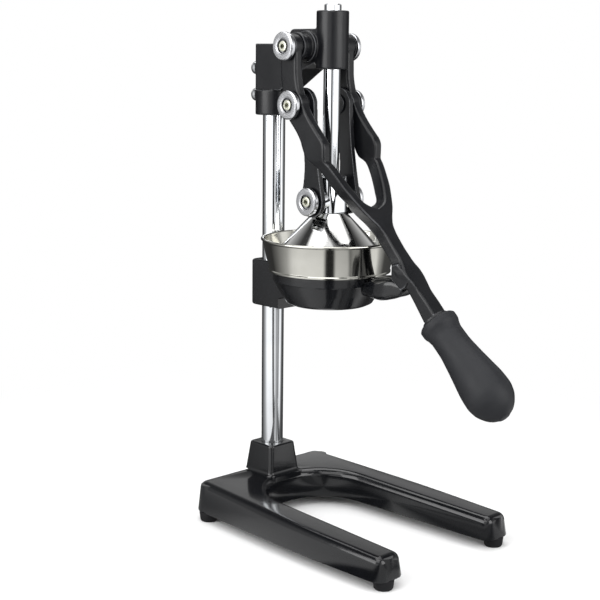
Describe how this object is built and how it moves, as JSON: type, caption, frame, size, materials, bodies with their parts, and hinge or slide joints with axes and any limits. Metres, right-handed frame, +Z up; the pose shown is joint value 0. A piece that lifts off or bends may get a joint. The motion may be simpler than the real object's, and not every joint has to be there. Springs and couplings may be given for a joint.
{
  "type": "lever citrus juice press",
  "caption": "Hand citrus press with a U-shaped base, a column, a cast head, a fork lever with toggle links, a guided rod with a hollow press cone, and a strainer bowl on a clamped holder.",
  "frame": {"origin": "middle of the footprint, on the table under the feet", "axes": "+Z up, -Y towards the handle and the open end of the base, X across the press"},
  "size_m": [0.211, 0.371, 0.5728],
  "materials": {
    "bearing bronze": "sintered bearing bronze",
    "black enamel": "gloss black enamel on cast iron",
    "black rubber": "moulded black rubber",
    "brushed stainless steel": "polished stainless steel with fine turning lines",
    "chrome plate": "bright chrome plate on steel",
    "moulded black grip": "fine-textured matte black plastic",
    "nickel plated steel": "turned and nickel plated steel",
    "satin black coat": "semi-gloss black coat on cast iron",
    "zinc plated screw": "zinc plated with a pale yellow passivation"
  },
  "bodies": {
    "frame": {"base_casting": "black enamel", "foot_front_left": "black rubber", "foot_screw_front_left": "zinc plated screw", "foot_front_right": "black rubber", "foot_screw_front_right": "zinc plated screw", "foot_back_left": "black rubber", "foot_screw_back_left": "zinc plated screw", "foot_back_right": "black rubber", "foot_screw_back_right": "zinc plated screw", "column_tube": "chrome plate", "column_bolt": "zinc plated screw", "head_casting": "satin black coat", "head_bolt_upper": "chrome plate", "head_bolt_lower": "chrome plate", "guide_bush_upper": "bearing bronze", "guide_bush_lower": "bearing bronze", "fulcrum_shaft": "nickel plated steel", "fulcrum_disc_left": "nickel plated steel", "fulcrum_screw_left": "zinc plated screw", "fulcrum_spacer_left": "satin black coat", "fulcrum_washer_left": "black enamel", "fulcrum_disc_right": "nickel plated steel", "fulcrum_screw_right": "zinc plated screw", "fulcrum_spacer_right": "satin black coat", "fulcrum_washer_right": "black enamel", "bowl_holder": "black enamel", "holder_set_screw": "zinc plated screw"},
    "lever": {"lever_fork": "satin black coat", "link_pin_end_left": "nickel plated steel", "link_pin_washer_left": "black enamel", "link_pin_disc_left": "nickel plated steel", "link_pin_screw_left": "zinc plated screw", "link_pin_end_right": "nickel plated steel", "link_pin_washer_right": "black enamel", "link_pin_disc_right": "nickel plated steel", "link_pin_screw_right": "zinc plated screw", "grip_ferrule": "satin black coat", "lever_grip": "moulded black grip"},
    "links": {"link_pin_left": "nickel plated steel", "link_pin_spacer_left": "satin black coat", "link_pin_right": "nickel plated steel", "link_pin_spacer_right": "satin black coat", "link_left": "satin black coat", "link_right": "satin black coat"},
    "plunger": {"crosshead_pin_left": "nickel plated steel", "crosshead_washer_left": "black enamel", "crosshead_disc_left": "nickel plated steel", "crosshead_screw_left": "zinc plated screw", "crosshead_pin_right": "nickel plated steel", "crosshead_washer_right": "black enamel", "crosshead_disc_right": "nickel plated steel", "crosshead_screw_right": "zinc plated screw", "plunger_rod": "chrome plate", "crosshead": "chrome plate", "press_cone": "brushed stainless steel", "cone_nut": "zinc plated screw"},
    "bowl": {"juice_bowl": "brushed stainless steel", "strainer_plate": "brushed stainless steel", "reamer": "brushed stainless steel"}
  },
  "joints": [
    {"name": "lever_pivot", "type": "hinge", "parent": "frame", "child": "lever", "pos_m": [0, 0.08471, 0.5284], "axis": [-1, 0, 0], "range_deg": [0, 105]},
    {"name": "link_pivot", "type": "hinge", "parent": "plunger", "child": "links", "pos_m": [0, 0.06281, 0.3666], "axis": [1, 0, 0], "range_deg": [0, 28.01]},
    {"name": "plunger_slide", "type": "slide", "parent": "frame", "child": "plunger", "axis": [0, 0, 1], "range_m": [0, 0.08823]},
    {"name": "bowl_turn", "type": "hinge", "parent": "frame", "child": "bowl", "pos_m": [0, 0.06281, 0.3], "axis": [0, 0, 1], "continuous": true}
  ],
  "couplings": [
    {"joint": "link_pivot", "follows": "lever_pivot", "ratio": 0.26656},
    {"joint": "plunger_slide", "follows": "lever_pivot", "m_per_rad": 0.048134}
  ]
}
